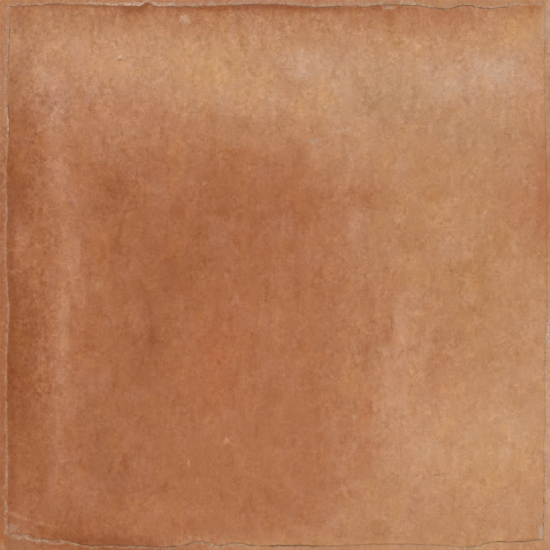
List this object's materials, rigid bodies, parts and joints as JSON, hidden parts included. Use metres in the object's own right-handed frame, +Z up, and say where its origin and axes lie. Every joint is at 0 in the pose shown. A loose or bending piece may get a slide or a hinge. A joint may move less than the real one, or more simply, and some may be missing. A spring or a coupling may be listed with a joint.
{
  "type": "square floor tile",
  "caption": "Square cotto-look ceramic floor tile: a matt walking face inside a worn, lowered rim, upright joint edges, and a back keyed with a lattice of ribs for bedding in adhesive.",
  "frame": {"origin": "centre of the square outline, on the plane of the back's ribs, which the tile lies on", "axes": "+Z up out of the walking face, +X to the right of the face and +Y to its top as pictured"},
  "size_m": [0.3, 0.3, 0.01],
  "materials": {
    "cotto": "matt, unglazed look"
  },
  "bodies": {
    "root": {"tile": "cotto"}
  },
  "joints": []
}
